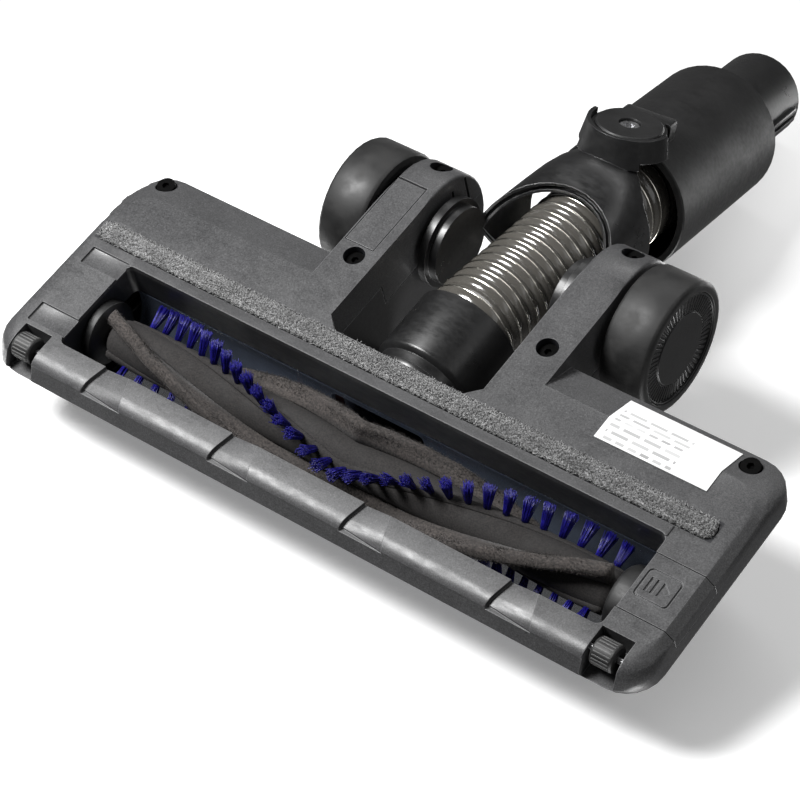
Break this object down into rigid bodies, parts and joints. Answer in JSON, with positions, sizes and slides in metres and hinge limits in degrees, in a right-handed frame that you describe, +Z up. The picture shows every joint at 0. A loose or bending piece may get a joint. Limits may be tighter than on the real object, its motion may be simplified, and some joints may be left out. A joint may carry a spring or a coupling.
{
  "type": "motorised vacuum floor head",
  "caption": "Motorised brush floor head for a cordless stick vacuum: chevron brush roller under a smoked hood, two wheels, and a neck that tilts and swivels around a clear hose.",
  "frame": {"origin": "centre of the bounding box on the floor that the wheels and rollers stand on", "axes": "+Z up, front of the head towards -Y, neck and hose towards +Y, brush and wheel axes along X"},
  "size_m": [0.249, 0.2885, 0.1135],
  "materials": {
    "casing_grey": "fine satin texture, dark metallic-grey moulding",
    "cover_dark": "satin dark moulding",
    "neck_black": "satin black moulding",
    "smoked_clear": "smoked clear moulding",
    "felt_brown": "dense brown-grey felt",
    "bristle_blue": "royal blue nylon tufts",
    "plush_grey": "short grey pile",
    "tyre_rubber": "soft black rubber",
    "axle_steel": "turned steel",
    "hose_clear": "clear hose over a steel wire helix",
    "label_white": "blank white label",
    "board_green": "circuit board",
    "wire_red": "insulated wire",
    "contact_brass": "plain brass"
  },
  "bodies": {
    "head": {"arm_insert_panel": "casing_grey", "arm_screw_front_left": "axle_steel", "arm_screw_front_right": "axle_steel", "arm_screw_rear_left": "axle_steel", "arm_screw_rear_right": "axle_steel", "brush_end_cap": "neck_black", "brush_motor": "axle_steel", "circuit_board": "board_green", "corner_screw_left": "axle_steel", "corner_screw_right": "axle_steel", "drive_bearing": "axle_steel", "drive_belt": "tyre_rubber", "duct_collar": "neck_black", "end_bearing": "axle_steel", "hood_window": "smoked_clear", "intake_duct": "smoked_clear", "latch_spring": "axle_steel", "plush_strip": "plush_grey", "power_wire_black": "tyre_rubber", "power_wire_red": "wire_red", "rating_label": "label_white", "roller_axle_left": "axle_steel", "roller_axle_right": "axle_steel", "sole_plate": "casing_grey", "top_cover": "cover_dark", "trunnion_bush_left": "neck_black", "trunnion_bush_right": "neck_black", "wheel_axle_left": "axle_steel", "wheel_axle_right": "axle_steel"},
    "neck": {"neck_yoke": "neck_black", "hose": "hose_clear"},
    "connector": {"connector_sleeve": "neck_black", "connector_spigot": "neck_black", "contact_block": "neck_black", "contact_pin_left": "contact_brass", "contact_pin_right": "contact_brass", "pivot_screw_lower": "axle_steel", "pivot_screw_upper": "axle_steel"},
    "wheel_left": {"wheel_tyre_left": "tyre_rubber", "wheel_hub_left": "neck_black"},
    "wheel_right": {"wheel_tyre_right": "tyre_rubber", "wheel_hub_right": "neck_black"},
    "roller_left": {"front_roller_left": "tyre_rubber"},
    "roller_right": {"front_roller_right": "tyre_rubber"},
    "brush": {"brush_core": "neck_black", "felt_fin_1": "felt_brown", "felt_fin_2": "felt_brown", "bristle_row_1": "bristle_blue", "bristle_row_2": "bristle_blue", "drive_coupling": "neck_black", "brush_pulley": "neck_black"},
    "motor_rotor": {"motor_pulley": "neck_black", "motor_shaft": "axle_steel"},
    "latch": {"latch_slider": "casing_grey"}
  },
  "joints": [
    {"name": "neck_tilt", "type": "hinge", "parent": "head", "child": "neck", "pos_m": [0.0025, -0.0251, 0.0226], "axis": [1, 0, 0], "range_deg": [0, 60], "deforming": ["hose"]},
    {"name": "neck_swivel", "type": "hinge", "parent": "neck", "child": "connector", "pos_m": [0.0025, 0.0284, 0.04594], "axis": [0, -0.4453, 0.8954], "range_deg": [-33, 45]},
    {"name": "wheel_left_spin", "type": "hinge", "parent": "head", "child": "wheel_left", "pos_m": [0.0025, -0.0251, 0.0226], "axis": [1, 0, 0], "continuous": true},
    {"name": "wheel_right_spin", "type": "hinge", "parent": "head", "child": "wheel_right", "pos_m": [0.0025, -0.0251, 0.0226], "axis": [1, 0, 0], "continuous": true},
    {"name": "roller_left_spin", "type": "hinge", "parent": "head", "child": "roller_left", "pos_m": [0.11075, -0.138, 0.0044], "axis": [1, 0, 0], "continuous": true},
    {"name": "roller_right_spin", "type": "hinge", "parent": "head", "child": "roller_right", "pos_m": [-0.11075, -0.138, 0.0044], "axis": [1, 0, 0], "continuous": true},
    {"name": "brush_spin", "type": "hinge", "parent": "head", "child": "brush", "pos_m": [0, -0.1144, 0.0162], "axis": [1, 0, 0], "continuous": true},
    {"name": "motor_spin", "type": "hinge", "parent": "head", "child": "motor_rotor", "pos_m": [0, -0.072, 0.0234], "axis": [1, 0, 0], "continuous": true},
    {"name": "latch_slide", "type": "slide", "parent": "head", "child": "latch", "axis": [-1, 0, 0], "range_m": [0, 0.004], "stiffness_N_per_m": 150, "springref_m": -0.003, "deforming": ["latch_spring"]}
  ],
  "couplings": [
    {"joint": "motor_spin", "follows": "brush_spin", "ratio": 1.8333}
  ]
}
